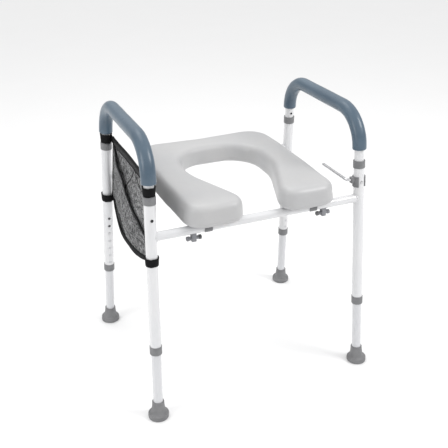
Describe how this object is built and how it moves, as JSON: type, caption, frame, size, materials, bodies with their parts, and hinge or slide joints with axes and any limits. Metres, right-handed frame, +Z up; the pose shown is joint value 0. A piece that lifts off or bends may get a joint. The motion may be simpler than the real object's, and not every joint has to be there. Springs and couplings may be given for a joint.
{
  "type": "toilet safety frame",
  "caption": "White tubular toilet safety frame with a padded U-shaped seat, foam-gripped armrests, height-adjustable splayed legs, roll holder and mesh side bag.",
  "frame": {"origin": "on the floor, under the middle of the four feet", "axes": "+Z up, front of the seat towards -Y, +X to the right seen from the front"},
  "size_m": [0.6678, 0.5438, 0.7565],
  "materials": {
    "tube_paint": "glossy white powder coat",
    "collar_plastic": "mid grey moulded plastic",
    "foot_rubber": "mid grey rubber tip",
    "button_steel": "plain steel",
    "spring_steel": "blued spring steel",
    "grip_foam": "blue-grey skinned foam",
    "clamp_plastic": "dark grey moulded plastic",
    "pad_rubber": "dark grey rubber",
    "cushion_skin": "light grey moulded polyurethane skin over foam",
    "board_plastic": "grey moulded board",
    "rod_steel": "plain steel rod",
    "bag_mesh": "heather grey mesh",
    "bag_binding": "black woven binding",
    "strap_webbing": "black hook-and-loop webbing"
  },
  "bodies": {
    "frame": {"post_lf": "tube_paint", "upper_collar_lf": "collar_plastic", "lower_collar_lf": "collar_plastic", "post_lr": "tube_paint", "upper_collar_lr": "collar_plastic", "lower_collar_lr": "collar_plastic", "post_rf": "tube_paint", "upper_collar_rf": "collar_plastic", "lower_collar_rf": "collar_plastic", "post_rr": "tube_paint", "upper_collar_rr": "collar_plastic", "lower_collar_rr": "collar_plastic", "handle_l": "tube_paint", "grip_l": "grip_foam", "handle_spring_l": "spring_steel", "clamp_bracket_l": "clamp_plastic", "handle_r": "tube_paint", "grip_r": "grip_foam", "handle_spring_r": "spring_steel", "clamp_bracket_r": "clamp_plastic", "rail_front": "tube_paint", "rail_rear": "tube_paint", "seat_cushion": "cushion_skin", "seat_board": "board_plastic", "seat_clips_front": "collar_plastic", "seat_clips_rear": "collar_plastic", "clip_screws": "button_steel", "holder_clip": "collar_plastic", "holder_rod": "rod_steel", "bag_back": "bag_mesh", "bag_front": "bag_mesh", "bag_gusset": "bag_mesh", "bag_hem": "bag_binding", "bag_rim": "bag_binding", "bag_straps": "strap_webbing"},
    "leg_body_lf": {"leg_lf": "tube_paint", "foot_lf": "foot_rubber", "leg_spring_lf": "spring_steel"},
    "leg_button_body_lf": {"leg_button_lf": "button_steel"},
    "handle_button_body_lf": {"handle_button_lf": "button_steel"},
    "leg_body_lr": {"leg_lr": "tube_paint", "foot_lr": "foot_rubber", "leg_spring_lr": "spring_steel"},
    "leg_button_body_lr": {"leg_button_lr": "button_steel"},
    "handle_button_body_lr": {"handle_button_lr": "button_steel"},
    "leg_body_rf": {"leg_rf": "tube_paint", "foot_rf": "foot_rubber", "leg_spring_rf": "spring_steel"},
    "leg_button_body_rf": {"leg_button_rf": "button_steel"},
    "handle_button_body_rf": {"handle_button_rf": "button_steel"},
    "leg_body_rr": {"leg_rr": "tube_paint", "foot_rr": "foot_rubber", "leg_spring_rr": "spring_steel"},
    "leg_button_body_rr": {"leg_button_rr": "button_steel"},
    "handle_button_body_rr": {"handle_button_rr": "button_steel"},
    "clamp_pad_body_l": {"clamp_pad_l": "pad_rubber"},
    "clamp_screw_body_l": {"clamp_screw_l": "clamp_plastic"},
    "clamp_pad_body_r": {"clamp_pad_r": "pad_rubber"},
    "clamp_screw_body_r": {"clamp_screw_r": "clamp_plastic"}
  },
  "joints": [
    {"name": "leg_slide_lf", "type": "slide", "parent": "frame", "child": "leg_body_lf", "axis": [0.032, 0.0796, 0.9963], "range_m": [-0.1016, 0.0508]},
    {"name": "leg_button_press_lf", "type": "slide", "parent": "leg_body_lf", "child": "leg_button_body_lf", "axis": [0.0026, -0.9968, 0.0796], "range_m": [0, 0.004], "stiffness_N_per_m": 1500, "springref_m": -0.002, "deforming": ["leg_spring_lf"]},
    {"name": "handle_button_press_lf", "type": "slide", "parent": "frame", "child": "handle_button_body_lf", "axis": [-0.0026, 0.9968, -0.0796], "range_m": [0, 0.004], "stiffness_N_per_m": 1500, "springref_m": -0.002, "deforming": ["handle_spring_l"]},
    {"name": "leg_slide_lr", "type": "slide", "parent": "frame", "child": "leg_body_lr", "axis": [0.032, -0.0796, 0.9963], "range_m": [-0.1016, 0.0508]},
    {"name": "leg_button_press_lr", "type": "slide", "parent": "leg_body_lr", "child": "leg_button_body_lr", "axis": [0.0026, 0.9968, 0.0796], "range_m": [0, 0.004], "stiffness_N_per_m": 1500, "springref_m": -0.002, "deforming": ["leg_spring_lr"]},
    {"name": "handle_button_press_lr", "type": "slide", "parent": "frame", "child": "handle_button_body_lr", "axis": [-0.0026, -0.9968, -0.0796], "range_m": [0, 0.004], "stiffness_N_per_m": 1500, "springref_m": -0.002, "deforming": ["handle_spring_l"]},
    {"name": "leg_slide_rf", "type": "slide", "parent": "frame", "child": "leg_body_rf", "axis": [-0.032, 0.0796, 0.9963], "range_m": [-0.1016, 0.0508]},
    {"name": "leg_button_press_rf", "type": "slide", "parent": "leg_body_rf", "child": "leg_button_body_rf", "axis": [-0.0026, -0.9968, 0.0796], "range_m": [0, 0.004], "stiffness_N_per_m": 1500, "springref_m": -0.002, "deforming": ["leg_spring_rf"]},
    {"name": "handle_button_press_rf", "type": "slide", "parent": "frame", "child": "handle_button_body_rf", "axis": [0.0026, 0.9968, -0.0796], "range_m": [0, 0.004], "stiffness_N_per_m": 1500, "springref_m": -0.002, "deforming": ["handle_spring_r"]},
    {"name": "leg_slide_rr", "type": "slide", "parent": "frame", "child": "leg_body_rr", "axis": [-0.032, -0.0796, 0.9963], "range_m": [-0.1016, 0.0508]},
    {"name": "leg_button_press_rr", "type": "slide", "parent": "leg_body_rr", "child": "leg_button_body_rr", "axis": [-0.0026, 0.9968, 0.0796], "range_m": [0, 0.004], "stiffness_N_per_m": 1500, "springref_m": -0.002, "deforming": ["leg_spring_rr"]},
    {"name": "handle_button_press_rr", "type": "slide", "parent": "frame", "child": "handle_button_body_rr", "axis": [0.0026, -0.9968, -0.0796], "range_m": [0, 0.004], "stiffness_N_per_m": 1500, "springref_m": -0.002, "deforming": ["handle_spring_r"]},
    {"name": "clamp_pad_slide_l", "type": "slide", "parent": "frame", "child": "clamp_pad_body_l", "axis": [1, 0, 0], "range_m": [-0.0075, 0.0045]},
    {"name": "clamp_screw_turn_l", "type": "hinge", "parent": "clamp_pad_body_l", "child": "clamp_screw_body_l", "pos_m": [-0.182, -0.2035, 0.4885], "axis": [1, 0, 0], "range_deg": [-905, 545]},
    {"name": "clamp_pad_slide_r", "type": "slide", "parent": "frame", "child": "clamp_pad_body_r", "axis": [-1, 0, 0], "range_m": [-0.0075, 0.0045]},
    {"name": "clamp_screw_turn_r", "type": "hinge", "parent": "clamp_pad_body_r", "child": "clamp_screw_body_r", "pos_m": [0.182, -0.2035, 0.4885], "axis": [-1, 0, 0], "range_deg": [-905, 545]}
  ],
  "couplings": [
    {"joint": "clamp_screw_turn_l", "follows": "clamp_pad_slide_l", "rad_per_m": 2094.4},
    {"joint": "clamp_screw_turn_r", "follows": "clamp_pad_slide_r", "rad_per_m": 2094.4}
  ]
}
